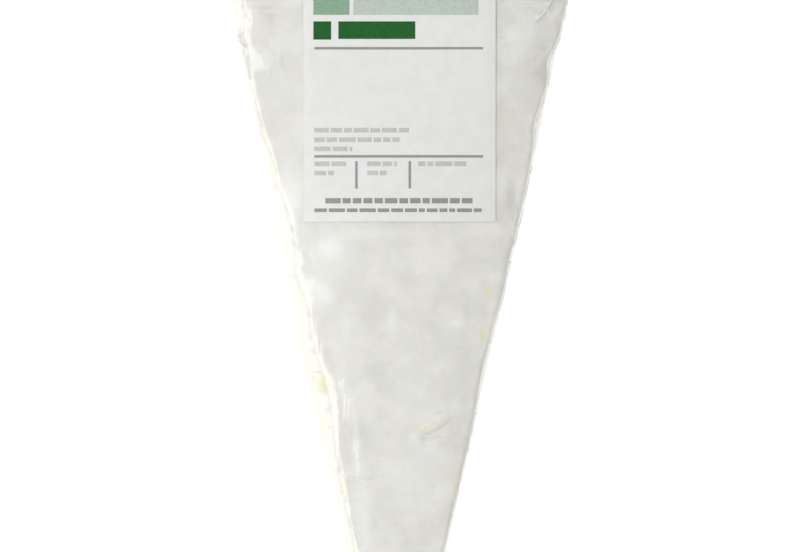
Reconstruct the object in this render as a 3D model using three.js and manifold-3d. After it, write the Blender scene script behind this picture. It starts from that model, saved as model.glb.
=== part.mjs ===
// A wedge of soft white-rind cheese, cut from a large flat wheel and drawn tight into clear film, with
// a paper label on its top. Millimetres, +Z up: it lies flat, its point towards -Y, its rim at +Y.
//
// The shapes are worked out in the wheel's own frame first: the wheel's axis stands at x = y = 0, and
// the wedge runs out from it along +Y. The group then carries the whole to the middle of its footprint.
import * as THREE from "three";
import { mergeVertices } from "three/addons/utils/BufferGeometryUtils.js";
import Module from "manifold-3d";

const wasm = await Module();
wasm.setup();

// The wheel and the cut
const wheelRadius = 180;
const wheelHeight = 30;
const halfAngle = THREE.MathUtils.degToRad(12); // the wedge is a fifteenth of the wheel
const turned = THREE.MathUtils.degToRad(0.5); // how far its middle lies to the right of +Y
const rimTopRadius = 9; // the rind turns over the top of the rim
const rimBottomRadius = 6;
const rimBarrel = 0.8; // how far the rim's side swells past its edges
const pointRadius = 6.5; // where the blunt point starts, from the wheel's axis
const edgeRadius = 1; // the film's turn over a cut edge
const middleSink = 2; // how much lower the wheel's middle has settled
const sinkReach = 75;

// The soft paste swells out of the cut faces, most on the left
const leftSwell = 2.3;
const leftHumps = [
  { at: 86, out: 1.2, reach: 22 },
  { at: 160, out: 0.9, reach: 22 },
];
const rightSwell = 0.2;
const rightHumps = [{ at: 116, out: 0.5, reach: 24 }];
const pointSwell = 2.2;
const pointReach = 16;
const rimHold = 22; // the rind's rim holds the paste back over this length

// The rind's unevenness. A nick is a place where a cut edge stands out, or in where it is negative
const edgeWander = 0.14; // how far the cut edges of the rind wander in and out
const edgeBand = 5; // the band beside an edge that wanders with it
const leftNicks = [
  { at: 151.3, out: 0.9, reach: 2.2 },
  { at: 147, out: 1.7, reach: 10 },
  { at: 133, out: 1.7, reach: 9 },
  { at: 121, out: 0.8, reach: 3 },
  { at: 102, out: 0.5, reach: 3.5 },
  { at: 96, out: -0.5, reach: 2.5 },
  { at: 76, out: -0.9, reach: 10 },
];
const rightNicks = [
  { at: 146.5, out: -1, reach: 3 },
  { at: 134, out: -1.1, reach: 4.5 },
  { at: 99, out: 0.3, reach: 3 },
  { at: 80, out: -0.5, reach: 7 },
];
const topSwells = 0.4;
const rimSwells = 0.45;
const leftDroop = 1; // how far the top turns down at each cut edge
const rightDroop = 0.5;
const droopReach = 5;
const ridgeInside = 5.5; // a low ridge runs beside the left cut edge
const ridgeHeight = 0.2;
const ridgeWidth = 1.4;

// A short split in the rind, from its left end to its right, with a raised lip on the rim's side
const splitStart = new THREE.Vector2(4.7, 68.4);
const splitEnd = new THREE.Vector2(11.5, 71.6);
const splitBow = 0.9;
const splitWidth = 1.2;
const splitDepth = 0.5;
const splitLip = 0.4;

// Folds where the film is gathered round the two rind corners
const foldsPerCorner = 3;
const foldSpacing = 8;
const foldHeight = 0.8;
const foldWidth = 1.9;
const foldLength = 15;
const foldSlant = THREE.MathUtils.degToRad(50);
const firstFoldAt = 151;

// The label, a sheet of stiff paper stuck on the film
const labelWidth = 40;
const labelLength = 50;
const labelFoot = 113; // its lower edge, from the wheel's axis
const labelMiddle = 0.2;
const labelThickness = 0.35;
const labelGap = 0.3;
const labelEdgeLift = 0.08; // its right edge stands off, most over the film's folds
const labelLift = 0.35;
const labelLiftAt = 155;
const labelLiftReach = 12;

// How finely the surfaces are divided
const cellsAcross = 30;
const cellsAlong = 78;
const cellsUp = 12;
const labelCells = 14;

const { clamp, lerp, smoothstep } = THREE.MathUtils;
const bell = (distance, reach) => Math.exp(-((distance / reach) ** 2));
const humpsAt = (humps, y) => humps.reduce((sum, { at, out, reach }) => sum + out * bell(y - at, reach), 0);

// The rim's outline at share w of its way from the wheel's foot to its top, drawn in by inset
const bottomArc = (rimBottomRadius * Math.PI) / 2;
const topArc = (rimTopRadius * Math.PI) / 2;
const rimSide = wheelHeight - rimBottomRadius - rimTopRadius;
const rimLength = bottomArc + rimSide + topArc;

function rimPoint(w, inset) {
  const way = w * rimLength;
  if (way < bottomArc) {
    const turn = way / rimBottomRadius;
    const radius = rimBottomRadius - inset;
    const out = wheelRadius - rimBottomRadius + radius * Math.sin(turn);
    return [out, rimBottomRadius - radius * Math.cos(turn)];
  }
  if (way > bottomArc + rimSide) {
    const turn = (way - bottomArc - rimSide) / rimTopRadius;
    const radius = rimTopRadius - inset;
    const out = wheelRadius - rimTopRadius + radius * Math.cos(turn);
    return [out, wheelHeight - rimTopRadius + radius * Math.sin(turn)];
  }
  const share = (way - bottomArc) / rimSide;
  const out = wheelRadius - inset + rimBarrel * Math.sin(Math.PI * share);
  return [out, rimBottomRadius + way - bottomArc];
}

// A radial section of the wheel: v runs from the blunt point to the rim, w from the foot to the top
function sectionPoint(v, w, inset) {
  const [rimOut, rimUp] = rimPoint(w, inset);
  const out = lerp(pointRadius + inset, rimOut, v);
  const up = lerp(lerp(inset, wheelHeight - inset, w), rimUp, v);
  return [out, up * (1 - (middleSink / wheelHeight) * bell(out, sinkReach))];
}

// The lines across the wedge: three close to each cut face for its rounded edge, the rest even
const edgeLines = [0, 0.13, 0.5].map((share) => share * edgeRadius);

function depthOfLine(i) {
  return edgeLines[Math.min(i, cellsAcross - i)] ?? edgeRadius;
}

function placeOfLine(i, half) {
  if (depthOfLine(i) < edgeRadius) {
    return (i < cellsAcross / 2 ? -1 : 1) * (half - depthOfLine(i));
  }
  const evenCells = cellsAcross - 2 * edgeLines.length;
  return (2 * ((i - edgeLines.length) / evenCells) - 1) * (half - edgeRadius);
}

// How far the skin dips at this depth behind a cut face, as the film turns over the edge
function edgeInset(depth) {
  const short = edgeRadius - Math.min(depth, edgeRadius);
  return edgeRadius - Math.sqrt(edgeRadius ** 2 - short ** 2);
}

// The swell of a cut face, by its place along the wedge and by its height
function swellAt(side, y) {
  const swell = side < 0 ? leftSwell + humpsAt(leftHumps, y) : rightSwell + humpsAt(rightHumps, y);
  const held = 0.85 * smoothstep(y, wheelRadius - rimHold, wheelRadius);
  const wide = 0.2 + 0.8 * smoothstep(y, -10, 60);
  return swell * (1 - held) * wide;
}

const swellProfile = (up) => Math.sin(Math.PI * clamp(up, 0, 1) ** 0.85) ** 0.8;

// How far a cut edge of the rind stands out of its straight line
function wanderAt(side, y) {
  const phase = side < 0 ? 0.4 : 2.3;
  const waves = 0.5 * Math.sin(y / 3.1 + phase) + 0.8 * Math.sin(y / 7.3 + 2 * phase);
  const stands = humpsAt(side < 0 ? leftNicks : rightNicks, y);
  return (edgeWander * waves + stands) * smoothstep(y, 8, 30);
}

// The film's folds, which run in from the cut edges at a slant
function foldsAt(x, y) {
  let height = 0;
  for (const side of [-1, 1]) {
    for (let n = 0; n < foldsPerCorner; n++) {
      const startY = firstFoldAt + n * foldSpacing;
      const inwards = startY * Math.tan(halfAngle + side * turned) - side * x;
      const towardsPoint = startY - y;
      const along = inwards * Math.cos(foldSlant) + towardsPoint * Math.sin(foldSlant);
      const beside = inwards * Math.sin(foldSlant) - towardsPoint * Math.cos(foldSlant);
      const length = foldLength * (1 - 0.18 * n);
      const fades = smoothstep(along, -6, 2) * (1 - smoothstep(along, 0.35 * length, length));
      height += foldHeight * fades * bell(beside, foldWidth);
    }
  }
  return height;
}

function splitAt(x, y) {
  const way = splitEnd.clone().sub(splitStart);
  const length = way.length();
  way.normalize();
  const here = new THREE.Vector2(x, y).sub(splitStart);
  const share = clamp(here.dot(way) / length, 0, 1);
  const open = Math.sin(Math.PI * share) ** 0.6;
  const beside = way.cross(here) + splitBow * Math.sin(Math.PI * Math.min(1, share / 0.85));
  const lip = splitLip * bell(beside - 1.6 * splitWidth, splitWidth);
  return open * (lip - splitDepth * bell(beside, splitWidth));
}

// The low swells and hollows of the rind's top
function swellsAt(x, y) {
  const broad = Math.sin(x / 9 + y / 31 + 0.4) * Math.cos(y / 14 + 1.1);
  const cross = Math.sin(y / 6.1 - x / 19) * Math.sin(x / 13 + y / 22 + 1.7);
  return topSwells * (0.6 * broad + 0.4 * cross);
}

// How far the top turns down beside a cut edge, less so beside the label
function droopAt(side, fromEdge, y) {
  const droop = side < 0 ? leftDroop : rightDroop;
  return droop * Math.exp(-fromEdge / droopReach) * (1 - 0.75 * smoothstep(y, 105, 135));
}

function topHeight(x, y) {
  const radius = Math.hypot(x, y);
  const fromEdge = radius * (halfAngle - Math.abs(Math.atan2(x, y) - turned));
  const flat = wheelHeight - middleSink * bell(radius, sinkReach) + swellsAt(x, y);
  return flat - droopAt(Math.sign(x) || 1, Math.max(0, fromEdge), y);
}

// Carries the point (i, j, k) of a divided box to its place on the wrapped wedge
function wedgePoint(i, j, k) {
  const [radius, height] = sectionPoint(j / cellsAlong, k / cellsUp, edgeInset(depthOfLine(i)));
  const half = halfAngle * radius;
  const across = placeOfLine(i, half);
  const side = Math.sign(across) || 1;
  const fromEdge = half - Math.abs(across);
  const up = height / wheelHeight;
  const nearTop = smoothstep(up, 0.55, 1);
  const onRim = smoothstep(radius, wheelRadius - rimTopRadius, wheelRadius);

  let x = radius * Math.sin(across / radius + turned);
  let y = radius * Math.cos(across / radius + turned);
  const swell = swellAt(side, y) * swellProfile(up) * (1 - fromEdge / half);
  const wander = wanderAt(side, y) * nearTop * Math.exp(-fromEdge / edgeBand);
  x += side * (swell + wander);
  y -= pointSwell * swellProfile(up) * (1 - smoothstep(radius, pointRadius, pointRadius + pointReach));
  y += rimSwells * onRim * Math.sin(x / 5.7 + 2 * up) * Math.cos(x / 12.1 - 3 * up);

  const ridgeLasts = smoothstep(y, 52, 64) * (1 - smoothstep(y, 90, 100));
  const ridge = side < 0 ? ridgeHeight * ridgeLasts * bell(fromEdge - ridgeInside, ridgeWidth) : 0;
  const relief = swellsAt(x, y) + foldsAt(x, y) + splitAt(x, y) + ridge - droopAt(side, fromEdge, y);
  return [x, y, height + relief * nearTop];
}

// Moves each point of a divided box by its whole-numbered place in it
function shaped(cells, place) {
  const box = new THREE.BoxGeometry(...cells, ...cells);
  const points = box.attributes.position;
  const point = new THREE.Vector3();
  const corner = new THREE.Vector3(...cells).divideScalar(2);
  for (let n = 0; n < points.count; n++) {
    point.fromBufferAttribute(points, n).add(corner).round();
    points.setXYZ(n, ...place(...point));
  }
  box.computeVertexNormals();
  return box;
}

// A closed geometry as a solid, and back
function toSolid(geometry) {
  const bare = geometry.clone();
  bare.deleteAttribute("normal");
  bare.deleteAttribute("uv");
  const merged = mergeVertices(bare);
  const vertProperties = merged.attributes.position.array;
  const triVerts = new Uint32Array(merged.index.array);
  return new wasm.Manifold(new wasm.Mesh({ numProp: 3, vertProperties, triVerts }));
}

function toGeometry(solid) {
  const { vertProperties, triVerts } = solid.getMesh();
  const geometry = new THREE.BufferGeometry();
  geometry.setAttribute("position", new THREE.BufferAttribute(vertProperties, 3));
  geometry.setIndex(new THREE.BufferAttribute(triVerts, 1));
  geometry.computeVertexNormals();
  return geometry;
}

// The wrapped wedge. Its foot is made a little too deep and cut flat where it rests
function wrappedBrie() {
  const restDepth = 0.3;
  const whole = shaped([cellsAcross, cellsAlong, cellsUp], (i, j, k) => {
    const [x, y, z] = wedgePoint(i, j, k);
    return [x, y, z - restDepth * (1 - z / wheelHeight)];
  });
  const boardSize = 3 * wheelRadius;
  const board = new THREE.BoxGeometry(boardSize, boardSize, wheelHeight);
  board.translate(0, 0, -wheelHeight / 2);
  return toGeometry(toSolid(whole).subtract(toSolid(board)));
}

// The label follows the top under it, with its right edge lifted
function labelSheet() {
  return shaped([labelCells, labelCells, 1], (i, j, k) => {
    const x = labelMiddle + labelWidth * (i / labelCells - 0.5);
    const y = labelFoot + labelLength * (j / labelCells);
    const loose = labelEdgeLift + labelLift * bell(y - labelLiftAt, labelLiftReach);
    const lift = loose * smoothstep(x, 0, labelWidth / 2);
    return [x, y, topHeight(x, y) + labelGap + lift + k * labelThickness];
  });
}

function piece(name, geometry, color, roughness) {
  const material = new THREE.MeshStandardMaterial({ color, roughness, metalness: 0 });
  const mesh = new THREE.Mesh(geometry, material);
  mesh.name = name;
  return mesh;
}

const wedge = new THREE.Group();
wedge.add(piece("wrapped_brie", wrappedBrie(), 0xe2e1da, 0.45));
wedge.add(piece("label", labelSheet(), 0xe6e6e4, 0.6));

// The origin is under the middle of the object's box, on the surface that it rests on
const bounds = new THREE.Box3().setFromObject(wedge);
const middle = bounds.getCenter(new THREE.Vector3());
wedge.position.set(-middle.x, -middle.y, -bounds.min.z);

export default wedge;
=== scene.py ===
"""A wedge of white-rind brie in clear film, with a paper label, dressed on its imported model."""

import math
import random

import bmesh
import bpy
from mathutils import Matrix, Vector, noise


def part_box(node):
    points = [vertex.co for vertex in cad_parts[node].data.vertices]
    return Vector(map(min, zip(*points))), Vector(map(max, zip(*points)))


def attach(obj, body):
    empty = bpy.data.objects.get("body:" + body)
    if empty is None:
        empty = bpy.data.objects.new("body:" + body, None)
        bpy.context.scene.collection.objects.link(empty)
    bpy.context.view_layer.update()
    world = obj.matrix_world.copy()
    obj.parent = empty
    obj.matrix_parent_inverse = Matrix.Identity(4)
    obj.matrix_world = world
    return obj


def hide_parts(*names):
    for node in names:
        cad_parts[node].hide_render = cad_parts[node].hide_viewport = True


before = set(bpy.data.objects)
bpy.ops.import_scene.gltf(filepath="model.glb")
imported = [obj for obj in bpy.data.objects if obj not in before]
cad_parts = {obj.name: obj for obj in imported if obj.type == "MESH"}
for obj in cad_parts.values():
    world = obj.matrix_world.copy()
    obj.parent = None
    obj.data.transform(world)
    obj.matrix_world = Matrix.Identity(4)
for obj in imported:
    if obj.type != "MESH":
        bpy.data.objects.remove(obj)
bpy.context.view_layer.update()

# THE CHEESE
# A ripe soft cheese, cut from the middle of a large flat wheel, so its shape is a radial section turned
# through the wedge's angle, in millimetres. A white mould rind covers its top, its foot and its rim. The
# two cut faces show the pale yellow paste, which has swollen out of them, and the rind's edge is torn.
MM = 0.001
WHEEL_RADIUS = 180
WHEEL_HEIGHT = 30
HALF_ANGLE, TURNED = math.radians(12), math.radians(0.5)
RIM_TOP_RADIUS = 9
RIM_FOOT_RADIUS = 6
RIM_BARREL = 0.8
POINT_RADIUS = 6.5
MIDDLE_SINK, SINK_REACH = 2, 75

# The cut faces' swelling, by side: -1 is the left one, seen from the point, and 1 the right one
SWELLS = {-1: 2.3, 1: 0.2}
HUMPS = {-1: ((86, 1.2, 22), (160, 0.9, 22)), 1: ((116, 0.5, 24),)}  # where, how far out, reach
SWELL_LOWERED, SWELL_FLATTENED = 0.85, 0.8  # powers that bring it low on the face, and make it even
POINT_SWELL, POINT_REACH = 2.2, 16
NARROW_SHARE, NARROW_END = 0.2, (-10, 60)  # less of it where the wedge is narrow
RIM_HOLDS, RIM_HOLD = 0.85, 22  # and beside the rim, which holds the paste in

# The rind's uneven edge beside the cut faces, and the unevenness of the top and the rim
EDGE_WANDER, EDGE_BAND = 0.14, 5
EDGE_WAVES = ((0.5, 3.1, 1), (0.8, 7.3, 2))  # share, millimetres to a radian, times the phase
EDGE_PHASES = {-1: 0.4, 1: 2.3}
NICKS = {  # where, how far out, reach
    -1: (
        (151.3, 0.9, 2.2), (147, 1.7, 10), (133, 1.7, 9), (121, 0.8, 3),
        (102, 0.5, 3.5), (96, -0.5, 2.5), (76, -0.9, 10),
    ),
    1: ((146.5, -1.0, 3), (134, -1.1, 4.5), (99, 0.3, 3), (80, -0.5, 7)),
}
EDGE_STARTS = (8, 30)
TOP_SHARE = 0.55  # up from here the top's relief grows
TOP_SWELLS, RIM_SWELLS = 0.4, 0.45
BROAD_SHARE, CROSS_SHARE = 0.6, 0.4  # of the top's swells
RIDGE_INSIDE, RIDGE_HEIGHT, RIDGE_WIDTH = 5.5, 0.2, 1.4
RIDGE_STARTS, RIDGE_ENDS = (52, 64), (90, 100)
DROOPS, DROOP_REACH = {-1: 1.0, 1: 0.5}, 5  # how far the top turns down at each cut edge
DROOP_HELD, DROOP_HELD_AT = 0.75, (105, 135)  # but less beside the label
SPLIT_START, SPLIT_END, SPLIT_BOW = Vector((4.2, 67.7)), Vector((11.7, 71.7)), 0.25
SPLIT_BENT_OVER, SPLIT_BLUNTNESS = 0.85, 0.6
SPLIT_LIP_AT = 1.6  # widths beside it

# The label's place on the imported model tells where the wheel's axis stands
LABEL_WIDTH, LABEL_LENGTH = 40, 50
LABEL_MIDDLE, LABEL_FOOT = 0.2, 113
label_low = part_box("label")[0] / MM
wheel_axis = Vector((label_low.x - LABEL_MIDDLE + LABEL_WIDTH / 2, label_low.y - LABEL_FOOT, 0))


def lerp(a, b, share):
    return a + (b - a) * share


def bell(distance, reach):
    return math.exp(-((distance / reach) ** 2))


def step(value, low, high):
    t = min(1, max(0, (value - low) / (high - low)))
    return t * t * (3 - 2 * t)


def rim_point(up_share, inset):
    """The rim's outline at a share of its way from the wheel's foot to its top, drawn in by inset."""
    foot_arc = RIM_FOOT_RADIUS * math.pi / 2
    top_arc = RIM_TOP_RADIUS * math.pi / 2
    side = WHEEL_HEIGHT - RIM_FOOT_RADIUS - RIM_TOP_RADIUS
    way = up_share * (foot_arc + side + top_arc)
    if way < foot_arc:
        turn, radius = way / RIM_FOOT_RADIUS, RIM_FOOT_RADIUS - inset
        out = WHEEL_RADIUS - RIM_FOOT_RADIUS + radius * math.sin(turn)
        return out, RIM_FOOT_RADIUS - radius * math.cos(turn)
    if way > foot_arc + side:
        turn, radius = (way - foot_arc - side) / RIM_TOP_RADIUS, RIM_TOP_RADIUS - inset
        out = WHEEL_RADIUS - RIM_TOP_RADIUS + radius * math.cos(turn)
        return out, WHEEL_HEIGHT - RIM_TOP_RADIUS + radius * math.sin(turn)
    out = WHEEL_RADIUS - inset + RIM_BARREL * math.sin(math.pi * (way - foot_arc) / side)
    return out, RIM_FOOT_RADIUS + way - foot_arc


def section_point(out_share, up_share, inset):
    """A point of the wheel's radial section: its distance from the axis and its height."""
    rim_out, rim_up = rim_point(up_share, inset)
    out = lerp(POINT_RADIUS + inset, rim_out, out_share)
    up = lerp(lerp(inset, WHEEL_HEIGHT - inset, up_share), rim_up, out_share)
    return out, up * (1 - MIDDLE_SINK / WHEEL_HEIGHT * bell(out, SINK_REACH))


def swell_profile(up):
    return math.sin(math.pi * min(1, max(0, up)) ** SWELL_LOWERED) ** SWELL_FLATTENED


def humps_at(humps, y):
    return sum(out * bell(y - at, reach) for at, out, reach in humps)


def swell_at(side, y):
    held = RIM_HOLDS * step(y, WHEEL_RADIUS - RIM_HOLD, WHEEL_RADIUS)
    broad = lerp(NARROW_SHARE, 1, step(y, *NARROW_END))
    return (SWELLS[side] + humps_at(HUMPS[side], y)) * (1 - held) * broad


def wander_at(side, y):
    phase = EDGE_PHASES[side]
    waves = sum(share * math.sin(y / length + phases * phase) for share, length, phases in EDGE_WAVES)
    return (EDGE_WANDER * waves + humps_at(NICKS[side], y)) * step(y, *EDGE_STARTS)


def swells_on_top(x, y):
    """Long low waves that cross each other, as the top of a ripe wheel has."""
    broad = math.sin(x / 9 + y / 31 + 0.4) * math.cos(y / 14 + 1.1)
    cross = math.sin(y / 6.1 - x / 19) * math.sin(x / 13 + y / 22 + 1.7)
    return TOP_SWELLS * (BROAD_SHARE * broad + CROSS_SHARE * cross)


def droop_at(side, from_edge, y):
    """How far the top turns down beside a cut edge, less so beside the label."""
    held = DROOP_HELD * step(y, *DROOP_HELD_AT)
    return DROOPS[side] * math.exp(-max(0, from_edge) / DROOP_REACH) * (1 - held)


def top_height(x, y):
    """The height of the wedge's top, leaving out the film's folds."""
    radius = math.hypot(x, y)
    from_edge = radius * (HALF_ANGLE - abs(math.atan2(x, y) - TURNED))
    flat = WHEEL_HEIGHT - MIDDLE_SINK * bell(radius, SINK_REACH) + swells_on_top(x, y)
    return flat - droop_at(-1 if x < 0 else 1, from_edge, y)


def from_split(x, y):
    """How open the short bowed split in the rind is at that place, and how far away it runs."""
    way = SPLIT_END - SPLIT_START
    here = Vector((x, y)) - SPLIT_START
    share = here.dot(way) / way.length_squared
    if not 0 < share < 1:
        return 0, 0
    beside = (way.x * here.y - way.y * here.x) / way.length
    bow = SPLIT_BOW * math.sin(math.pi * min(1, share / SPLIT_BENT_OVER))
    return math.sin(math.pi * share) ** SPLIT_BLUNTNESS, beside + bow


def split_on_top(x, y, width, depth, lip):
    """The split's relief, with its lip on the rim's side."""
    opened, beside = from_split(x, y)
    return opened * (lip * bell(beside - SPLIT_LIP_AT * width, width) - depth * bell(beside, width))


def on_wedge(across, radius, height, relief):
    """The point at that place of the plain wedge, with its swells, its edges' wander and its relief."""
    half = HALF_ANGLE * radius
    side = -1 if across < 0 else 1
    from_edge = half - abs(across)
    up = height / WHEEL_HEIGHT
    near_top = step(up, TOP_SHARE, 1)
    turn = across / radius + TURNED
    x, y = radius * math.sin(turn), radius * math.cos(turn)
    swell = swell_at(side, y) * swell_profile(up) * (1 - from_edge / half)
    x += side * (swell + wander_at(side, y) * near_top * math.exp(-from_edge / EDGE_BAND))
    y -= POINT_SWELL * swell_profile(up) * (1 - step(radius, POINT_RADIUS, POINT_RADIUS + POINT_REACH))
    on_rim = step(radius, WHEEL_RADIUS - RIM_TOP_RADIUS, WHEEL_RADIUS)
    y += RIM_SWELLS * on_rim * math.sin(x / 5.7 + 2 * up) * math.cos(x / 12.1 - 3 * up)
    ridge = RIDGE_HEIGHT * bell(from_edge - RIDGE_INSIDE, RIDGE_WIDTH) if side < 0 else 0
    ridge *= step(y, *RIDGE_STARTS) * (1 - step(y, *RIDGE_ENDS))
    ridge -= droop_at(side, from_edge, y)
    return Vector((x, y, height + (swells_on_top(x, y) + relief(x, y) + ridge) * near_top))


def wedge_form(cells, edge_radius, edge_cells, relief):
    """A closed box divided into cells and carried onto the wedge, and what is known of each point of it:
    its side, its depth behind the nearer cut face, its height and its depth under the nearest rind."""
    bm = bmesh.new()
    bmesh.ops.create_cube(bm, size=1)
    for axis in range(3):
        lengthwise = [e for e in bm.edges if abs((e.verts[0].co - e.verts[1].co)[axis]) > 1e-6]
        bmesh.ops.subdivide_edges(bm, edges=lengthwise, cuts=cells[axis] - 1, use_grid_fill=True)
    across_cells, along_cells, up_cells = cells
    known = []
    for v in bm.verts:
        i, j, k = (round((v.co[axis] + 0.5) * cells[axis]) for axis in range(3))
        line = min(i, across_cells - i, edge_cells)
        turn = line / edge_cells * math.pi / 2
        depth, inset = edge_radius * (1 - math.cos(turn)), edge_radius * (1 - math.sin(turn))
        radius, height = section_point(j / along_cells, k / up_cells, inset)
        half = HALF_ANGLE * radius
        if line < edge_cells:
            across = (half - depth) * (-1 if i < across_cells / 2 else 1)
        else:
            share = (i - edge_cells) / (across_cells - 2 * edge_cells)
            across = (2 * share - 1) * (half - edge_radius)
        place = on_wedge(across, radius, height, relief)
        v.co = place + wheel_axis
        on_cut = i in (0, across_cells) or j == 0
        roof = section_point(j / along_cells, 1, inset)[1]
        rind_depth = min(height - inset, roof - height, rim_point(k / up_cells, inset)[0] - radius)
        under_rind = max(0, rind_depth) if on_cut and 0 < k < up_cells else 0
        side = -1 if across < 0 else 1
        known.append((side, half - abs(across), height / WHEEL_HEIGHT, under_rind, place.y))
    bmesh.ops.recalc_face_normals(bm, faces=bm.faces)
    bm.normal_update()
    return bm, known


def finished(name, bm, material, replaced=None, sharp_over=None):
    """The mesh in metres as an object that rides on the one body, smooth but for edges over an angle."""
    bmesh.ops.scale(bm, vec=(MM, MM, MM), verts=bm.verts)
    mesh = bpy.data.meshes.new(name)
    for face in bm.faces:
        face.smooth = True
    bm.to_mesh(mesh)
    bm.free()
    if sharp_over:
        mesh.set_sharp_from_angle(angle=math.radians(sharp_over))
    piece = bpy.data.objects.new(name, mesh)
    bpy.context.scene.collection.objects.link(piece)
    mesh.materials.append(material)
    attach(piece, "root")
    if replaced:
        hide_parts(replaced)
    return piece


CHEESE_CELLS = (96, 310, 36)
CHEESE_EDGE_RADIUS, CHEESE_EDGE_CELLS = 0.6, 3
FILM_CLEARANCE = 0.35
CHEESE_FOOT = 0.5
RIND_THICKNESS = 1.5
UNDER_RIND, UNDER_RIND_BAND = 0.35, 0.7  # the groove where the paste shrinks away under the rind
PASTE_SMOOTHNESS, PASTE_COARSENESS = 0.4, 0.6  # against the mould's felt
TOP_LEAN, TOP_EDGE = (0.3, 0.8), (0.8, 0.9)  # how level, and how far up, the top's own relief begins

# The split's pale lip, with painted light on it, and painted shade in its bottom
CRACK_WIDTH, CRACK_DEPTH, CRACK_LIP = 0.5, 0.22, 0.35
LIP_AT, LIP_BAND, LIP_STAIN, LIP_PAINTED_LIGHT = 1.2, 0.9, 0.16, 0.7
CRACK_AT, CRACK_BAND, CRACK_PAINTED_SHADE = -0.2, 0.5, 0.5

# The rind is torn back from the cut edges, where the paste shows, and a gully runs beside the left one
TEARS = {  # least, uneven, and tears farther in or less far: where, how far, reach
    -1: (
        0.2, 1.7,
        (
            (154.2, 1.6, 1.1), (151.3, -1.0, 1.8), (148.9, 0.8, 1.1), (146.2, -1.6, 2.4),
            (118.1, 0.9, 2.6), (104.6, 1.1, 1.6), (99.6, 2.2, 2.6), (76, 1.7, 9),
        ),
    ),
    1: (0.0, 0.3, ()),
}
TEAR_STARTS, TEAR_HEIGHT = (6, 24), (0.85, 0.95)
TOOTH_LENGTH, TOOTH_SHIFT = 2.4, 0.1
TEAR_SLOPES = {-1: 0.6, 1: 0.3}
TEAR_DEPTH, TEAR_RAMP = 0.4, 0.5
BARE_DEPTH = 1.7  # as many rinds deep counts the paste that a tear lays bare
GULLY_INSIDE, GULLY_DEPTH, GULLY_WIDTH = 3.1, 0.16, 0.7
GULLY_MIDDLE, GULLY_REACH, GULLY_WANDER = 74, 14, 0.7
HOLES_A_SIDE = 34
HOLES_ALONG, HOLES_UP, HOLE_SIZES = (28, 172), (5, 24), (0.3, 1.5, 0.5)
HOLE_DEPTH, HOLE_FLATNESS = 0.9, 1.2

# The felt of the mould, and the marks of the rack, on which the cheese ripened
FELT = ((0.13, 4.5), (0.08, 1.7))  # height, size
MARK_SPACING, MARK_SHIFT, MARK_RISE, MARK_DEPTH, MARK_WIDTH = 11, 3, 0.16, 0.16, 1.1
MARK_WOBBLE, MARK_WOBBLE_SIZE = 2.4, 13
LINE_SPACING, LINE_HEIGHT, LINES_RISE = 2.1, 0.035, (0.906, 0.423)
LINE_WOBBLE, LINES_FADE = 0.9, (-0.2, 0.4)
BLOOM_HEIGHT = 0.12
STAIN_TOP = (0.55, 0.8)
STAINS = (  # across, along, half length, half width, strength: where the rind or the paste is yellow
    (-16.4, 79.4, 1.8, 0.9, 1), (-11.9, 57.6, 1.6, 0.8, 1), (18.8, 98.8, 1.7, 0.4, 1),
    (17.6, 89.4, 1.4, 0.4, 1), (-27.4, 124.5, 1.0, 0.5, 0.6), (7.3, 69.8, 2.6, 4.4, 0.2),
)
BLOOMS_AND_PAINTED_SHADING = (  # the same where the rind is painted whiter: thicker mould, and painted light on the lit ridge and beside the left edge; where less than nought it is painted grey, which is painted shade, most of it along the right edge
    (-1.3, 92.7, 2.6, 0.9, 0.5), (1.4, 84.7, 0.7, 0.8, 0.5), (-7, 79, 2.4, 1.1, 0.4),
    (0.4, 73.2, 0.8, 1.2, 0.3), (3, 68.2, 1.1, 0.9, 0.4), (-10.9, 89.5, 3.6, 1.2, 0.5),
    (2.6, 103.5, 1.6, 2.6, 0.3), (-14.6, 107.5, 2.4, 3.2, 0.9), (-15.2, 97.5, 2.6, 2.2, 0.8),
    (-6, 110.3, 1.3, 9, 0.4), (12.5, 92, 1, 1.6, 0.5), (6, 67, 12, 4.5, 0.45),
    (24.2, 147, 2, 1.4, 0.5), (24, 151.5, 1, 2, 0.4), (-8.6, 67, 10, 0.9, 0.45), (-6.9, 51, 8, 1.6, 0.6),
    (-22.8, 122, 10, 3.2, 0.45), (-25, 142, 8, 5, 0.2), (0.9, 78, 3, 2, 0.3), (0.6, 58, 4, 3, 0.35),
    (-22.2, 117.3, 3.5, 2.2, 0.6), (-17.6, 99.8, 2, 2.2, 0.7), (-12, 106, 9, 5, 0.25), (4.5, 79, 3, 3, 0.2),
    (30.2, 143, 11, 3, -0.6), (25.5, 140, 14, 4, -0.25), (23.3, 118, 4, 1.5, -0.8),
    (17.8, 98, 5, 1.5, -0.4), (-3.2, 72.8, 2, 2.2, -0.4), (24.5, 158, 3, 3, 0.3),
    (9.8, 67.2, 1.5, 3, -0.3),
)
LABEL_PRESS, PRESSED_TO, PRESSED_BAND = 0.85, -0.17, 1.6

# The small holes in the paste: side, how far along, how high up and how wide
dice = random.Random(7)
holes = [
    (side, dice.uniform(*HOLES_ALONG), dice.uniform(*HOLES_UP), dice.triangular(*HOLE_SIZES))
    for side in (-1, 1)
    for _ in range(HOLES_A_SIDE)
]


def torn_back(side, y):
    """How far the rind is torn back from the cut edge of the top."""
    least, more, tears = TEARS[side]
    tooth = max(0, noise.noise(Vector((side * 5, y / TOOTH_LENGTH, 1.5))) + TOOTH_SHIFT)
    wide = sum(back * bell(y - at, reach) for at, back, reach in tears)
    return (least + more * tooth + wide) * step(y, *TEAR_STARTS)


def felt(point):
    """The fine unevenness of the mould."""
    return sum(height * noise.noise(point / size) for height, size in FELT)


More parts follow.
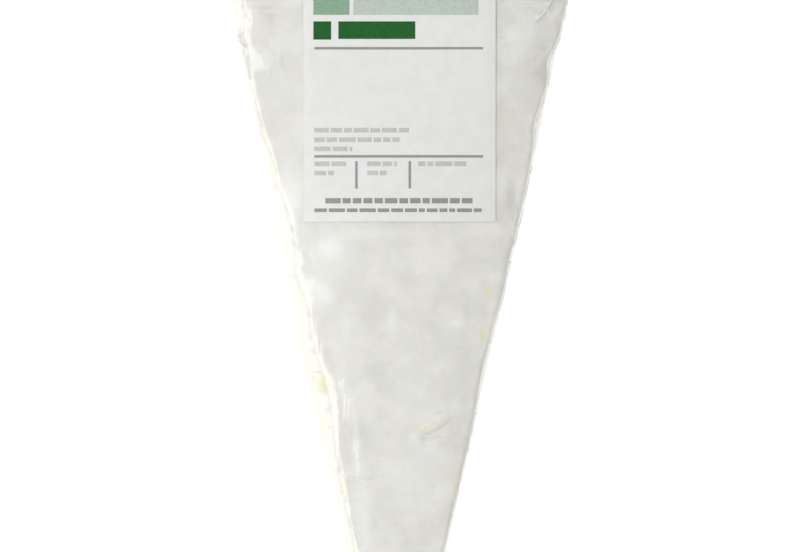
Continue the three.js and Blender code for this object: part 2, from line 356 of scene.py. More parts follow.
def rack_marks(x, y):
    """Faint marks across the top, left by the rack, and finer lines that rise to the right."""
    wobble = MARK_WOBBLE * noise.noise(Vector((x / MARK_WOBBLE_SIZE, y / MARK_WOBBLE_SIZE, 4)))
    from_mark = abs((y + wobble - MARK_RISE * x + MARK_SHIFT) % MARK_SPACING - MARK_SPACING / 2)
    way = LINES_RISE[0] * y - LINES_RISE[1] * x + LINE_WOBBLE * wobble
    fine = math.sin(2 * math.pi * way / LINE_SPACING)
    some = step(noise.noise(Vector((x / 12, y / 16, 9))), *LINES_FADE)
    return -MARK_DEPTH * bell(from_mark, MARK_WIDTH) + LINE_HEIGHT * fine * some


def spotted(point, spots):
    """How much a point lies in any of the spots, each longer along the wedge than across it."""
    return sum(
        strength * bell(point.x - x, across) * bell(point.y - y, along)
        for x, y, along, across, strength in spots
    )


def crack(x, y):
    return split_on_top(x, y, CRACK_WIDTH, CRACK_DEPTH, CRACK_LIP)


def under_label(x, y):
    """From 0 to 1, how much the label presses on the rind at that place."""
    inside = min(LABEL_WIDTH / 2 - abs(x - LABEL_MIDDLE), y - LABEL_FOOT, LABEL_FOOT + LABEL_LENGTH - y)
    return LABEL_PRESS * step(inside, -PRESSED_BAND, 0)


def move_each(bm, moves, foot):
    """Moves each point by its own move, and lets none of them sink below the foot."""
    for v, move in zip(bm.verts, moves):
        v.co += move
        v.co.z = max(v.co.z, foot)


bm, known = wedge_form(CHEESE_CELLS, CHEESE_EDGE_RADIUS, CHEESE_EDGE_CELLS, crack)
depth_layer = bm.verts.layers.float.new("rind_depth")
stain_layer = bm.verts.layers.float.new("stain")
bloom_and_painted_shading_layer = bm.verts.layers.float.new("bloom_and_painted_shading")
moves = []
for v, (side, from_edge, up, rind_depth, y) in zip(bm.verts, known):
    point = v.co - wheel_axis
    on_top = step(v.normal.z, *TOP_LEAN) * step(up, *TOP_EDGE)
    # Whiter spots of thicker mould and of painted light, and grey spots of painted shade, carried in one
    # attribute
    bloom_and_painted_shading = spotted(point, BLOOMS_AND_PAINTED_SHADING) * on_top
    rind = bell(rind_depth, RIND_THICKNESS)
    paste_relief = PASTE_SMOOTHNESS * felt(point * PASTE_COARSENESS)
    out = rind * felt(point) + (1 - rind) * paste_relief - FILM_CLEARANCE
    out += (rack_marks(point.x, point.y) + BLOOM_HEIGHT * bloom_and_painted_shading) * on_top
    if side < 0:
        inside = GULLY_INSIDE + GULLY_WANDER * noise.noise(Vector((point.y / 5, 2, 6)))
        in_gully = bell(from_edge - inside, GULLY_WIDTH) * bell(point.y - GULLY_MIDDLE, GULLY_REACH)
        out -= GULLY_DEPTH * in_gully * on_top
    out = lerp(out, PRESSED_TO, under_label(point.x, point.y) * on_top)
    back = torn_back(side, y) * step(up, *TEAR_HEIGHT)
    if back > 0 and from_edge < back and y < WHEEL_RADIUS - RIM_TOP_RADIUS:
        torn = step(back - from_edge, 0, TEAR_RAMP)
        out -= TEAR_DEPTH * torn + TEAR_SLOPES[side] * (back - from_edge)
        rind_depth = max(rind_depth, BARE_DEPTH * RIND_THICKNESS * torn)
    if from_edge == 0:
        out -= UNDER_RIND * bell(rind_depth - RIND_THICKNESS, UNDER_RIND_BAND)
    for hole_side, hole_y, hole_z, size in holes:
        if side == hole_side and from_edge == 0 and abs(point.y - hole_y) < 2 * size:
            away = math.hypot(point.y - hole_y, (point.z - hole_z) * HOLE_FLATNESS)
            out -= HOLE_DEPTH * size * bell(away, size)
    moves.append(v.normal * out)
    # The split's lip is painted lighter and its bottom painted darker, as light and shade would fall on
    # them; the lip's cream is its own colour
    opened, beside = from_split(point.x, point.y)
    on_lip = opened * bell(beside - LIP_AT, LIP_BAND) * on_top
    in_crack = opened * bell(beside - CRACK_AT, CRACK_BAND) * on_top
    v[depth_layer] = rind_depth
    v[stain_layer] = min(1, spotted(point, STAINS) * step(up, *STAIN_TOP) + LIP_STAIN * on_lip)
    v[bloom_and_painted_shading_layer] = bloom_and_painted_shading + LIP_PAINTED_LIGHT * on_lip - CRACK_PAINTED_SHADE * in_crack
move_each(bm, moves, CHEESE_FOOT)


def new_material(name):
    material = bpy.data.materials.new(name)
    material.use_nodes = True
    tree = material.node_tree
    return material, tree.nodes, tree.links, tree.nodes["Principled BSDF"]


def add(nodes, kind, **values):
    """A node of that kind, with its named inputs and settings set."""
    node = nodes.new(kind)
    for name, value in values.items():
        if name in node.bl_rna.properties:
            setattr(node, name, value)
        else:
            node.inputs[name.replace("_", " ")].default_value = value
    return node


def between(nodes, links, factor, low, high):
    """A colour that goes from low to high with factor, each a colour or a socket."""
    mix = add(nodes, "ShaderNodeMix", data_type="RGBA")
    links.new(factor, mix.inputs["Factor"])
    for socket, value in ((mix.inputs[6], low), (mix.inputs[7], high)):
        if isinstance(value, tuple):
            socket.default_value = (*value, 1)
        else:
            links.new(value, socket)
    return mix.outputs[2]


def ranged(nodes, links, value, low, high, to_low=0.0, to_high=1.0):
    """A smooth step of a value from one range to another."""
    node = add(nodes, "ShaderNodeMapRange", interpolation_type="SMOOTHSTEP")
    links.new(value, node.inputs["Value"])
    for name, number in (("From Min", low), ("From Max", high), ("To Min", to_low), ("To Max", to_high)):
        node.inputs[name].default_value = number
    return node.outputs["Result"]


def figured(nodes, links, operation, first, second):
    """The sum, product or power of two values, each a number or a socket."""
    node = add(nodes, "ShaderNodeMath", operation=operation)
    for socket, value in zip(node.inputs, (first, second)):
        if isinstance(value, (int, float)):
            socket.default_value = value
        else:
            links.new(value, socket)
    return node.outputs[0]


def bumped(nodes, links, shader, height, strength, distance):
    """Lets a height that changes over the surface tilt the light on it."""
    bump = add(nodes, "ShaderNodeBump", Strength=strength, Distance=distance)
    links.new(height, bump.inputs["Height"])
    links.new(bump.outputs["Normal"], shader.inputs["Normal"])


def mottle_group():
    """Soft cloudy variation of a surface at two scales, and a fine grain."""
    group = bpy.data.node_groups.new("mottle", "ShaderNodeTree")
    for name, default in (("Cloud Size", 120.0), ("Grain Size", 900.0)):
        socket = group.interface.new_socket(name, in_out="INPUT", socket_type="NodeSocketFloat")
        socket.default_value = default
    for name in ("Cloud", "Patch", "Grain"):
        group.interface.new_socket(name, in_out="OUTPUT", socket_type="NodeSocketFloat")
    nodes, links = group.nodes, group.links
    ins, outs = nodes.new("NodeGroupInput"), nodes.new("NodeGroupOutput")
    place = nodes.new("ShaderNodeTexCoord")
    for output, size, share, detail in (
        ("Cloud", "Cloud Size", 1.0, 4),
        ("Patch", "Cloud Size", 0.28, 2),
        ("Grain", "Grain Size", 1.0, 3),
    ):
        texture = add(nodes, "ShaderNodeTexNoise", Detail=detail, Roughness=0.55)
        links.new(figured(nodes, links, "MULTIPLY", ins.outputs[size], share), texture.inputs["Scale"])
        links.new(place.outputs["Object"], texture.inputs["Vector"])
        links.new(texture.outputs["Fac"], outs.inputs[output])
    return group


mottle = mottle_group()


def mottled(nodes, cloud_size, grain_size):
    surface = add(nodes, "ShaderNodeGroup", node_tree=mottle)
    surface.inputs["Cloud Size"].default_value = cloud_size
    surface.inputs["Grain Size"].default_value = grain_size
    return surface.outputs


# The whitest mould, which also paints light on the rind, and a grey that paints shade on it
RIND_PALE, RIND_CREAM, RIND_BLOOM_AND_PAINTED_LIGHT = (0.735, 0.725, 0.68), (0.82, 0.81, 0.76), (0.92, 0.915, 0.885)
RIND_FRECKLE, RIND_PAINTED_SHADE, STAIN_YELLOW = (0.76, 0.72, 0.61), (0.63, 0.62, 0.59), (0.76, 0.75, 0.36)
PASTE_PALE, PASTE_CREAM, PASTE_RIPE = (0.90, 0.87, 0.735), (0.895, 0.85, 0.69), (0.905, 0.893, 0.835)
RIPE_DEPTH = (1, 7)  # the paste is whitest right under the rind, and pale yellow farther in
RIND_FRAYED, RIND_FADES = 1.2, 0.3  # where the rind ends in the paste

cheese_material, nodes, links, shader = new_material("rind_and_paste")
surface = mottled(nodes, 130, 1100)
marks = {
    name: add(nodes, "ShaderNodeAttribute", attribute_name=name).outputs["Fac"]
    for name in ("rind_depth", "stain", "bloom_and_painted_shading")
}
grain_off = figured(nodes, links, "ADD", surface["Grain"], -0.5)
frayed = figured(nodes, links, "MULTIPLY", grain_off, RIND_FRAYED)
rough_depth = figured(nodes, links, "ADD", marks["rind_depth"], frayed)
in_paste = ranged(nodes, links, rough_depth, RIND_THICKNESS - RIND_FADES, RIND_THICKNESS + RIND_FADES)
cloud = ranged(nodes, links, surface["Cloud"], 0.35, 0.65)
rind = between(nodes, links, cloud, RIND_PALE, RIND_CREAM)
rind = between(nodes, links, ranged(nodes, links, surface["Patch"], 0.6, 0.75), rind, RIND_FRECKLE)
# Whiter with thicker mould and with painted light, grey with painted shade
rind = between(nodes, links, marks["bloom_and_painted_shading"], rind, RIND_BLOOM_AND_PAINTED_LIGHT)
rind = between(nodes, links, ranged(nodes, links, marks["bloom_and_painted_shading"], -1, 0, 1, 0), rind, RIND_PAINTED_SHADE)
ripe = ranged(nodes, links, marks["rind_depth"], *RIPE_DEPTH)
paste = between(nodes, links, ripe, PASTE_RIPE, PASTE_PALE)
creamy = figured(nodes, links, "MULTIPLY", ranged(nodes, links, surface["Patch"], 0.4, 0.62), ripe)
paste = between(nodes, links, creamy, paste, PASTE_CREAM)
colour = between(nodes, links, in_paste, rind, paste)
patchy = ranged(nodes, links, surface["Grain"], 0.3, 0.6)
stained = figured(nodes, links, "MULTIPLY", marks["stain"], patchy)
links.new(between(nodes, links, stained, colour, STAIN_YELLOW), shader.inputs["Base Color"])
links.new(ranged(nodes, links, in_paste, 0, 1, 0.85, 0.42), shader.inputs["Roughness"])
shader.inputs["Subsurface Weight"].default_value = 0.2
shader.inputs["Subsurface Radius"].default_value = (1.0, 0.9, 0.65)
shader.inputs["Subsurface Scale"].default_value = 0.002
bumped(nodes, links, shader, surface["Grain"], strength=0.5, distance=0.0004)

finished("cheese", bm, cheese_material, "wrapped_brie")

# THE FILM
# Thin clear film is drawn tight over the cheese and folded under it. It is gathered at the rind corners
# and the point, where it lies in small folds, and it is one closed skin with a thin wall.
FILM_CELLS = (56, 240, 34)
FILM_EDGE_RADIUS, FILM_EDGE_CELLS = 1.0, 4
FILM_THICKNESS = 0.05
FILM_FOOT = 0.3
DRAWN_IN = 0.1
DIP_WIDTH, DIP_DEPTH, DIP_LIP = 1.2, 0.5, 0.4

# The folds at each rind corner, which run in over the top
FOLDS_PER_CORNER, FIRST_FOLD_AT, FOLD_SPACING = 3, 151, 8
FOLD_HEIGHT, FOLD_WIDTH, FOLD_SLANT = 0.8, 1.9, math.radians(50)
FOLD_LENGTH, FOLD_SHORTENS = 15, 0.18
FOLD_STARTS, FOLD_FADES = (-6, 2), 0.35

# The creases on the steep faces: how high, how far apart and how long
UPRIGHT_HEIGHT, UPRIGHT_SPACING, UPRIGHT_LENGTH = 0.22, 2.1, 17
UPRIGHT_AT_TOP, UPRIGHT_AT_FOOT = 6, 7
PULL_HEIGHT, PULL_SPACING, PULL_LENGTH = 0.16, 4.2, 26
PULL_LEAN, PULL_SLOPE = 0.6, 0.3
PULL_SHARPNESS = 4.5
SIDES_APART = 400  # so that each side has creases of its own
SMOOTH_MIDDLE, RIM_BEGINS = 5, (150, 178)  # the middle of the rim, where the sides meet, has none
WAVE_HEIGHT, WAVE_SIZE = 0.06, 5


def film_folds(x, y):
    """The film's folds, which run in over the top from the cut edges at a slant."""
    height = split_on_top(x, y, DIP_WIDTH, DIP_DEPTH, DIP_LIP)
    for side in (-1, 1):
        for n in range(FOLDS_PER_CORNER):
            start_y = FIRST_FOLD_AT + n * FOLD_SPACING
            inwards = start_y * math.tan(HALF_ANGLE + side * TURNED) - side * x
            towards_point = start_y - y
            along = inwards * math.cos(FOLD_SLANT) + towards_point * math.sin(FOLD_SLANT)
            beside = inwards * math.sin(FOLD_SLANT) - towards_point * math.cos(FOLD_SLANT)
            length = FOLD_LENGTH * (1 - FOLD_SHORTENS * n)
            fades = step(along, *FOLD_STARTS) * (1 - step(along, FOLD_FADES * length, length))
            height += FOLD_HEIGHT * fades * bell(beside, FOLD_WIDTH)
    return height


def pulled(place):
    """A sharp little ridge of pulled film, from 0 to 1, where the noise at that place is near nought."""
    return (1 - min(1, PULL_SHARPNESS * abs(noise.noise(place)))) ** 2


def creases(round_about, rise):
    """The film's ridges on the steep faces: upright ones at the edges, slanting pulls between them."""
    at_edge = max(bell(WHEEL_HEIGHT - rise, UPRIGHT_AT_TOP), bell(rise, UPRIGHT_AT_FOOT))
    upright = pulled(Vector((round_about / UPRIGHT_SPACING, rise / UPRIGHT_LENGTH, 3)))
    beside, along = round_about + PULL_LEAN * rise, rise - PULL_SLOPE * round_about
    slanting = pulled(Vector((beside / PULL_SPACING, along / PULL_LENGTH, 8)))
    return UPRIGHT_HEIGHT * upright * at_edge + PULL_HEIGHT * slanting


bm, known = wedge_form(FILM_CELLS, FILM_EDGE_RADIUS, FILM_EDGE_CELLS, film_folds)
moves = []
for v, (side, from_edge, up, rind_depth, y) in zip(bm.verts, known):
    point = v.co - wheel_axis
    steep = 1 - abs(v.normal.z)
    beside_middle = lerp(1, step(abs(point.x), 0, SMOOTH_MIDDLE), step(point.y, *RIM_BEGINS))
    out = creases(point.y + from_edge + SIDES_APART * side, point.z) * steep * beside_middle
    out += WAVE_HEIGHT * noise.noise(point / WAVE_SIZE) * (1 - steep)
    moves.append(v.normal * (out - DRAWN_IN))
move_each(bm, moves, FILM_FOOT)

# The finest lines in the film, in its material
GATHERS = (  # along, up, reach: where the film is drawn together, and its creases run out from
    (182, 27, 80), (184, 5, 60), (-3, 23, 60), (-5, 6, 50),
)
FANNED_LINES = (7.5, 22, 60)  # for each radian, and for each metre outwards and across
UPRIGHT_LINES = (260, 30, 60)  # for each metre along, up and across
UPRIGHT_SHARE, UPRIGHT_FROM_MIDDLE = 0.7, (0.006, 0.014)
LINE_BAND = 0.055
CREASE_RELIEF = 1.5
STRETCH_LINES = (((140, 520, 60), 25), ((420, 90, 300), 0))  # scale, and degrees turned
FILM_COLOUR, FILM_ROUGHNESS = (0.96, 0.97, 0.97), 0.16


def drawn_film_group():
    """Stretched film: the height of its fine lines, and how far it is creased. On the steep faces the
    creases fan out from where the film is gathered, with short upright ones at the edges."""
    group = bpy.data.node_groups.new("drawn_film", "ShaderNodeTree")
    for name in ("Height", "Creased"):
        group.interface.new_socket(name, in_out="OUTPUT", socket_type="NodeSocketFloat")
    nodes, links = group.nodes, group.links
    outs, place = nodes.new("NodeGroupOutput"), nodes.new("ShaderNodeTexCoord")

    def parts(vector):
        node = nodes.new("ShaderNodeSeparateXYZ")
        links.new(vector, node.inputs[0])
        return node.outputs

    def times(value, number):
        return figured(nodes, links, "MULTIPLY", value, number)

    def away_from(value, middle):
        return figured(nodes, links, "ABSOLUTE", figured(nodes, links, "SUBTRACT", value, middle), 0)

    def thin_line(along, up, other):
        """A thin line wherever the noise at that place crosses its middle."""
        at = nodes.new("ShaderNodeCombineXYZ")
        for socket, value in zip(at.inputs, (along, up, other)):
            links.new(value, socket)
        texture = add(nodes, "ShaderNodeTexNoise", Scale=1.0, Detail=1.0, Roughness=0.4)
        links.new(at.outputs[0], texture.inputs["Vector"])
        return ranged(nodes, links, away_from(texture.outputs["Fac"], 0.5), 0, LINE_BAND, 1, 0)

    x, y, z = parts(place.outputs["Object"])
    creased = None
    for along, up, reach in GATHERS:
        middle = (Vector((0, along, up)) + wheel_axis) * MM
        from_y = away_from(y, middle.y)
        from_z = figured(nodes, links, "SUBTRACT", z, middle.z)
        turn = figured(nodes, links, "ARCTAN2", from_z, from_y)
        line = thin_line(*(times(part, n) for part, n in zip((turn, from_y, x), FANNED_LINES)))
        line = times(line, ranged(nodes, links, from_y, 0.3 * reach * MM, reach * MM, 1, 0))
        creased = figured(nodes, links, "MAXIMUM", creased, line) if creased else line
    upright = thin_line(*(times(part, n) for part, n in zip((y, z, x), UPRIGHT_LINES)))
    from_middle = away_from(z, WHEEL_HEIGHT / 2 * MM)
    upright = times(upright, ranged(nodes, links, from_middle, *UPRIGHT_FROM_MIDDLE))
    creased = figured(nodes, links, "MAXIMUM", creased, times(upright, UPRIGHT_SHARE))
    lean = figured(nodes, links, "ABSOLUTE", parts(place.outputs["Normal"])[2], 0)
    creased = times(creased, ranged(nodes, links, lean, 0.4, 0.8, 1, 0))
    patchy = add(nodes, "ShaderNodeTexNoise", Scale=90.0, Detail=1.0)
    links.new(place.outputs["Object"], patchy.inputs["Vector"])
    creased = times(creased, ranged(nodes, links, patchy.outputs["Fac"], 0.4, 0.6))
    links.new(creased, outs.inputs["Creased"])

    height = times(creased, CREASE_RELIEF)
    for scale, turned in STRETCH_LINES:
        mapping = add(nodes, "ShaderNodeMapping", Scale=scale)
        mapping.inputs["Rotation"].default_value = (0, 0, -math.radians(turned))
        links.new(place.outputs["Object"], mapping.inputs["Vector"])
        texture = add(nodes, "ShaderNodeTexNoise", Scale=1.0, Detail=2.0, Distortion=0.6)
        links.new(mapping.outputs["Vector"], texture.inputs["Vector"])
        height = figured(nodes, links, "ADD", height, texture.outputs["Fac"])
    links.new(height, outs.inputs["Height"])
    return group


drawn_film = drawn_film_group()


def film_material(name, haze, grazing_share, milky, creased):
    """Clear film, which lets light straight through, with gloss by angle and a little haze. It is milky
    white where it is doubled, and where it is creased; on the creases and the pleats this white is partly
    painted highlight, standing for the glints on them. Only its outer face shows."""
    material, nodes, links, shader = new_material(name)
    shader.inputs["Base Color"].default_value = (*FILM_COLOUR, 1)
    shader.inputs["Roughness"].default_value = FILM_ROUGHNESS
    film_lines = add(nodes, "ShaderNodeGroup", node_tree=drawn_film).outputs
    bumped(nodes, links, shader, film_lines["Height"], strength=0.7, distance=0.00025)
    # The creases are painted milky white, partly as doubled film and partly as painted highlight
    white = figured(nodes, links, "MAXIMUM", film_lines["Creased"], milky)
    links.new(figured(nodes, links, "SUBTRACT", 1, white), shader.inputs["Metallic"])
    facing = add(nodes, "ShaderNodeLayerWeight", Blend=0.5).outputs["Facing"]
    grazing = figured(nodes, links, "MULTIPLY", figured(nodes, links, "POWER", facing, 4), grazing_share)
    cloudy = ranged(nodes, links, mottled(nodes, 400, 900)["Cloud"], 0.4, 0.7, *haze)
    share = figured(nodes, links, "ADD", grazing, cloudy)
    share = figured(nodes, links, "ADD", share, figured(
        nodes, links, "MULTIPLY", film_lines["Creased"], creased))
    inner = nodes.new("ShaderNodeNewGeometry").outputs["Backfacing"]
    outer = figured(nodes, links, "SUBTRACT", 1, inner)
    links.new(figured(nodes, links, "MULTIPLY", share, outer), shader.inputs["Alpha"])
    return material


clear_film = film_material("clear_film", haze=(0.06, 0.09), grazing_share=0.5, milky=0, creased=0.4)
film = finished("film", bm, clear_film, "wrapped_brie")
wall = film.modifiers.new("wall", "SOLIDIFY")
wall.thickness = FILM_THICKNESS * MM
wall.offset = -1

# THE FILM'S FLAPS
# Film left over from the corners is folded flat against the rim as two pointed flaps, and the two long
# edges overlap under the foot, where they cling to each other.
SHEET_EDGE = 50  # degrees: a thin sheet's faces are smooth, and its edges sharp
FLAP_CELLS = (16, 26)
FLAP_LIFT, FLAP_THICKNESS = 0.16, 0.05
FLAP_DEPTH, FLAP_FROM_EDGE = 17, 0.4
FLAP_LOW, FLAP_HIGH = 0.10, 0.86
FLAP_TIP, FLAP_BLUNTNESS, FLAP_DROP = 0.06, 1.3, 0.12
FLAP_RIPPLE, FLAP_CURL = 0.12, 0.25
OVERLAP_CELLS = (10, 90)
OVERLAP_FOOT, OVERLAP_CRINKLE = 0.06, 0.05
OVERLAP_START, OVERLAP_END = 14, 170
OVERLAP_LEFT, OVERLAP_RIGHT = -0.25, 0.55  # shares of the wedge's half width
LEFT_WAVER, LEFT_RIPPLE, RIGHT_WAVER = 0.08, 0.05, 0.06  # the same


def thin_sheet(bm, cells, place):
    """Adds a thin closed sheet. place gives its points for u and v from 0 to 1, below and above."""
    made = bmesh.ops.create_grid(bm, x_segments=cells[0], y_segments=cells[1], size=0.5)
    lower = made["verts"]
    faces = list(dict.fromkeys(face for v in lower for face in v.link_faces))
    raised = bmesh.ops.extrude_face_region(bm, geom=faces)
    upper = {g for g in raised["geom"] if isinstance(g, bmesh.types.BMVert)}
    for v in [*lower, *upper]:
        v.co = place(v.co.x + 0.5, v.co.y + 0.5, v in upper)
    bmesh.ops.recalc_face_normals(bm, faces=bm.faces)


def flap_on_rim(side):
    """A pointed flap that runs in from one corner of the rim."""

    def place(u, v, above):
        narrowed = lerp(1, FLAP_TIP, u ** FLAP_BLUNTNESS)
        up_share = lerp(FLAP_LOW, FLAP_HIGH, 0.5 + (v - 0.5) * narrowed - FLAP_DROP * u)
        ripple = FLAP_RIPPLE * noise.noise(Vector((side * 4 + u * 3, v * 5, 2)))
        curl = FLAP_CURL * u * abs(2 * v - 1)
        lift = FLAP_LIFT + ripple + curl + (FLAP_THICKNESS if above else 0)
        radius, height = section_point(1, up_share, -lift)
        across = side * (HALF_ANGLE * radius - FLAP_FROM_EDGE - u * FLAP_DEPTH)
        return on_wedge(across, radius, height, film_folds) + wheel_axis

    return place


def overlap_under_foot(u, v, above):
    """The strip where one long edge of the film lies over the other."""
    y = lerp(OVERLAP_START, OVERLAP_END, v)
    half = y * math.tan(HALF_ANGLE)
    left = OVERLAP_LEFT + LEFT_WAVER * noise.noise(Vector((y / 6, 1, 1)))
    left += LEFT_RIPPLE * math.sin(y / 3.3)
    right = OVERLAP_RIGHT + RIGHT_WAVER * noise.noise(Vector((y / 5, 7, 1)))
    x = y * math.tan(TURNED) + half * lerp(left, right, u)
    crinkle = OVERLAP_CRINKLE * (1 + noise.noise(Vector((x / 2, y / 3, 5))))
    return Vector((x, y, OVERLAP_FOOT + crinkle + (FLAP_THICKNESS if above else 0))) + wheel_axis


bm = bmesh.new()
for side in (-1, 1):
    thin_sheet(bm, FLAP_CELLS, flap_on_rim(side))
thin_sheet(bm, OVERLAP_CELLS, overlap_under_foot)
doubled_film = film_material("doubled_film", haze=(0.06, 0.3), grazing_share=0.25, milky=0.7, creased=0.3)
finished("film_flaps", bm, doubled_film, sharp_over=SHEET_EDGE)

# THE FILM'S PLEATS
# Where the film is gathered beside the rind corners it lies doubled over in a few narrow pleats, painted
# white: doubled film, with painted highlight where light glints on the folds.
PLEAT_CELLS = (14, 6)
PLEAT_LIFT, PLEAT_ARCH, PLEAT_EDGE = -0.05, 0.03, 0.002
PLEAT_BEND, PLEAT_ENDS, PLEAT_FULLNESS = 0.1, (0.08, 0.97), 0.6
TOP_PLEATS = (  # where it starts, its direction in degrees, its length and its width
    (27.9, 154.3, 52, 6.4, 1.15), (30.4, 163.6, 28, 5.5, 0.8), (25.8, 168.5, 58, 6.5, 0.8),
    (-26.9, 163.5, 131, 5.8, 0.8), (-24.0, 169.5, 118, 6.0, 0.8),
)


def pleat_on_top(x, y, direction, length, width):
    turn = math.radians(direction)
    along, beside = Vector((math.cos(turn), math.sin(turn))), Vector((-math.sin(turn), math.cos(turn)))

    def place(u, v, above):
        taper = math.sin(math.pi * lerp(*PLEAT_ENDS, u)) ** PLEAT_FULLNESS
        bend = PLEAT_BEND * math.sin(2.5 * u + x)
        at = Vector((x, y)) + along * (u * length) + beside * (((v - 0.5) * taper) * width + bend)
        arch = taper * (1 - (2 * v - 1) ** 2)
        lift = PLEAT_LIFT + PLEAT_ARCH * arch + (FLAP_THICKNESS * arch if above else -PLEAT_EDGE)
        return Vector((at.x, at.y, top_height(at.x, at.y) + film_folds(at.x, at.y) + lift)) + wheel_axis

    return place


bm = bmesh.new()
for pleat in TOP_PLEATS:
    thin_sheet(bm, PLEAT_CELLS, pleat_on_top(*pleat))
pleats_painted_white = film_material("pleats_painted_white", haze=(0.55, 0.8), grazing_share=0.1, milky=0.9, creased=0.1)
finished("film_pleats", bm, pleats_painted_white, sharp_over=SHEET_EDGE)

# THE LABEL
# A sheet of smooth white paper stuck on the film, over the rind end. Its right edge has come away a
# little, and casts a thin shadow.
LABEL_CELLS = (80, 60)
PAPER_THICKNESS = 0.06
PAPER_LIES_AT = 0.02
LABEL_LIFT, LABEL_LIFT_AT, LABEL_LIFT_REACH, LABEL_EDGE_LIFT = 0.15, 155, 12, 0.02
TURNED_DOWN, TURN_REACH = 0.1, 0.9  # the label's two long edges
PAPER_DULL, PAPER_BRIGHT = (0.80, 0.80, 0.79), (0.83, 0.83, 0.82)


def on_label(u, v, height):
    """The point of the label u to the right of its left edge, v up from its foot and height above it."""
    x, y = LABEL_MIDDLE - LABEL_WIDTH / 2 + u, LABEL_FOOT + v
    loose = LABEL_LIFT * bell(y - LABEL_LIFT_AT, LABEL_LIFT_REACH) + LABEL_EDGE_LIFT
    lift = loose * step(x, 0, LABEL_WIDTH / 2) - TURNED_DOWN * bell(min(u, LABEL_WIDTH - u), TURN_REACH)
    return Vector((x, y, top_height(x, y) + lift + height)) + wheel_axis


def sheet_on_label(bm, low, high, cells, height, thickness):
    """Adds a thin closed sheet that follows the label between two of its corners."""
    thin_sheet(bm, cells, lambda u, v, above: on_label(
        lerp(low[0], high[0], u), lerp(low[1], high[1], v), height + (thickness if above else 0)))


bm = bmesh.new()
sheet_on_label(bm, (0, 0), (LABEL_WIDTH, LABEL_LENGTH), LABEL_CELLS, PAPER_LIES_AT, PAPER_THICKNESS)

paper_material, nodes, links, shader = new_material("label_paper")
surface = mottled(nodes, 300, 4000)
tone = ranged(nodes, links, surface["Cloud"], 0.35, 0.65)
links.new(between(nodes, links, tone, PAPER_DULL, PAPER_BRIGHT), shader.inputs["Base Color"])
shader.inputs["Roughness"].default_value = 0.5
bumped(nodes, links, shader, surface["Grain"], strength=0.15, distance=0.00005)

finished("label_paper", bm, paper_material, "label", sharp_over=SHEET_EDGE)

# THE PRINT
# The label is printed in three greens and two greys. Plain bars head it, and plain dashes stand where
# such a label has its lines of small print. The ink is a thin sheet on the paper.
INK_LIES_AT = PAPER_LIES_AT + PAPER_THICKNESS + 0.005
INK_THICKNESS = 0.015
INK_CELL = 1.5
HEADING = (  # ink, its colour, and its bars: left, low, right and high
    ("green", (0.005, 0.105, 0.012), ((7.3, 38.0, 23.3, 41.65), (2.1, 37.85, 5.8, 41.65))),
    ("mid_green", (0.25, 0.39, 0.27), ((2.1, 43.0, 9.6, 46.6),)),
    ("pale_green", (0.49, 0.56, 0.50), ((10.4, 43.0, 36.4, 46.6),)),
)
PALE_GREY, GREY = (0.53, 0.535, 0.525), (0.29, 0.295, 0.285)
PRINT_LEFT, PRINT_RIGHT = 2.3, 37.4
RULES_UP, RULE_THICK = (35.8, 13.32), 0.52
DIVIDERS, DIVIDER_LOW, DIVIDER_HIGH = (10.8, 21.9), 6.9, 12.6
PALE_LINES = (  # left, right, up from the foot, height
    (2.3, 22.0, 18.55, 0.95), (2.3, 20.8, 16.55, 0.95), (2.3, 10.2, 14.65, 0.95),
    (2.3, 8.9, 11.55, 0.95), (13.3, 19.5, 11.55, 0.95), (23.9, 33.9, 11.55, 0.95),
    (2.3, 6.4, 9.65, 0.95), (13.3, 17.3, 9.65, 0.95),
)
DARK_LINES = ((4.6, 35.2, 3.8, 1.1), (2.3, 37.6, 2.0, 0.75))
WORD_GAP, SHORTEST_WORD, LONGEST_WORD = 0.4, 1.2, 3.6


def ink_material(name, colour):
    material, nodes, links, shader = new_material(name)
    tone = ranged(nodes, links, mottled(nodes, 1500, 5000)["Cloud"], 0.3, 0.7)
    paler = tuple(min(1, c * 1.12 + 0.01) for c in colour)
    links.new(between(nodes, links, tone, colour, paler), shader.inputs["Base Color"])
    shader.inputs["Roughness"].default_value = 0.55
    shader.inputs["Specular IOR Level"].default_value = 0.2
    return material


def bar(bm, left, low, right, high):
    cells = (max(1, round((right - left) / INK_CELL)), max(1, round((high - low) / INK_CELL)))
    sheet_on_label(bm, (left, low), (right, high), cells, INK_LIES_AT, INK_THICKNESS)


def printed(ink, colour, bm):
    finished(f"print_{ink}", bm, ink_material(f"{ink}_ink", colour), sharp_over=SHEET_EDGE)


def dashes(bm, lines):
    """Rows of dashes of uneven length, as words have."""
    for left, right, up, height in lines:
        while left < right - WORD_GAP:
            word = min(dice.uniform(SHORTEST_WORD, LONGEST_WORD), right - left)
            bar(bm, left, up, left + word, up + height)
            left += word + WORD_GAP


for ink, colour, bars in HEADING:
    bm = bmesh.new()
    for corners in bars:
        bar(bm, *corners)
    printed(ink, colour, bm)

bm = bmesh.new()
dashes(bm, PALE_LINES)
printed("pale_grey", PALE_GREY, bm)

bm = bmesh.new()
for up in RULES_UP:
    bar(bm, PRINT_LEFT, up, PRINT_RIGHT, up + RULE_THICK)
for across in DIVIDERS:
    bar(bm, across, DIVIDER_LOW, across + RULE_THICK, DIVIDER_HIGH)
dashes(bm, DARK_LINES)
printed("grey", GREY, bm)

# THE STUDIO
# A plain pale floor, two long soft lights on the left, a broad one above, thin strips all round that glint
# in the film, and a camera that looks straight down, as the photograph does.
FRAME_WIDTH = 167.6  # of the wedge's top, in millimetres
CAMERA_OVER = Vector((0.94, 101.7, WHEEL_HEIGHT)) + wheel_axis
CAMERA_HEIGHT = 1200
FLOOR_REACH, FLOOR_BELOW = 4, 0.00005  # metres

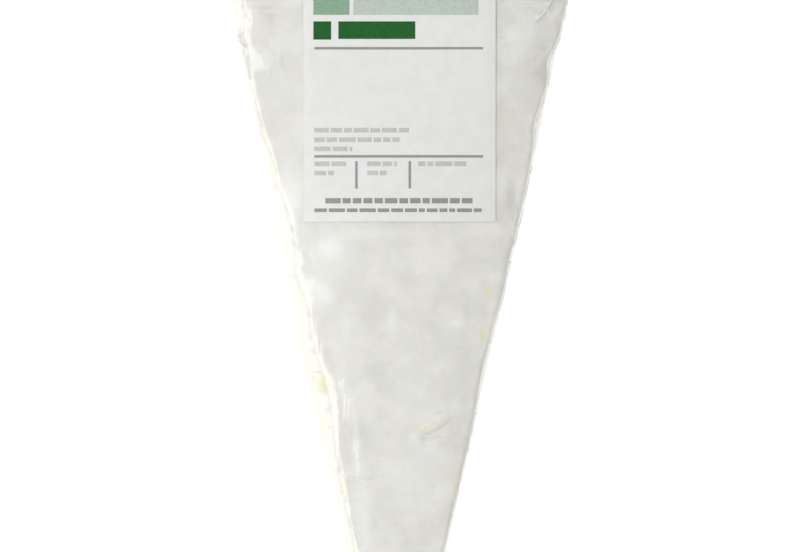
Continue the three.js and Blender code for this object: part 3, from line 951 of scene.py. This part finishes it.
bm = bmesh.new()
bmesh.ops.create_grid(bm, x_segments=1, y_segments=1, size=FLOOR_REACH)
bmesh.ops.translate(bm, vec=(0, 0, -FLOOR_BELOW), verts=bm.verts)
floor_mesh = bpy.data.meshes.new("floor")
bm.to_mesh(floor_mesh)
bm.free()
floor = bpy.data.objects.new("floor", floor_mesh)
bpy.context.scene.collection.objects.link(floor)
floor_material, nodes, links, shader = new_material("pale_floor")
shader.inputs["Base Color"].default_value = (0.4, 0.4, 0.4, 1)
shader.inputs["Roughness"].default_value = 0.9
shader.inputs["Specular IOR Level"].default_value = 0.1
shader.inputs["Emission Color"].default_value = (1, 1, 1, 1)
shader.inputs["Emission Strength"].default_value = 0.8
floor_mesh.materials.append(floor_material)


def soft_light(name, place, size, power):
    light = bpy.data.lights.new(name, "AREA")
    light.shape = "RECTANGLE"
    light.size, light.size_y = size
    light.energy = power
    lamp = bpy.data.objects.new(name, light)
    lamp.location = place
    lamp.rotation_euler = (-Vector(place)).to_track_quat("-Z", "Y").to_euler()
    lamp.visible_camera = False
    bpy.context.scene.collection.objects.link(lamp)


soft_light("key", (-0.18, 0.01, 0.28), (0.5, 0.12), 0.61)
soft_light("low_left", (-0.28, 0.02, 0.16), (0.5, 0.1), 0.16)
soft_light("overhead", (0.0, 0.0, 1.3), (0.9, 0.9), 2.8)
soft_light("strip_right_front", (0.3, -0.26, 0.05), (0.03, 0.3), 0.27)
soft_light("strip_right_back", (0.3, 0.24, 0.05), (0.03, 0.3), 0.27)
soft_light("strip_front", (-0.22, -0.34, 0.15), (0.012, 0.3), 0.05)
soft_light("strip_back", (-0.05, 0.42, 0.15), (0.012, 0.3), 0.05)

world = bpy.data.worlds.new("studio")
world.use_nodes = True
world.node_tree.nodes["Background"].inputs["Color"].default_value = (1, 1, 1, 1)
world.node_tree.nodes["Background"].inputs["Strength"].default_value = 0.30
scene = bpy.context.scene
scene.world = world
scene.view_settings.view_transform = "Standard"

camera_data = bpy.data.cameras.new("camera")
camera_data.sensor_width = 36
camera_data.lens = camera_data.sensor_width * CAMERA_HEIGHT / FRAME_WIDTH
camera_data.clip_start, camera_data.clip_end = 0.05, 20
camera = bpy.data.objects.new("camera", camera_data)
camera.location = (CAMERA_OVER + Vector((0, 0, CAMERA_HEIGHT))) * MM
scene.collection.objects.link(camera)
scene.camera = camera
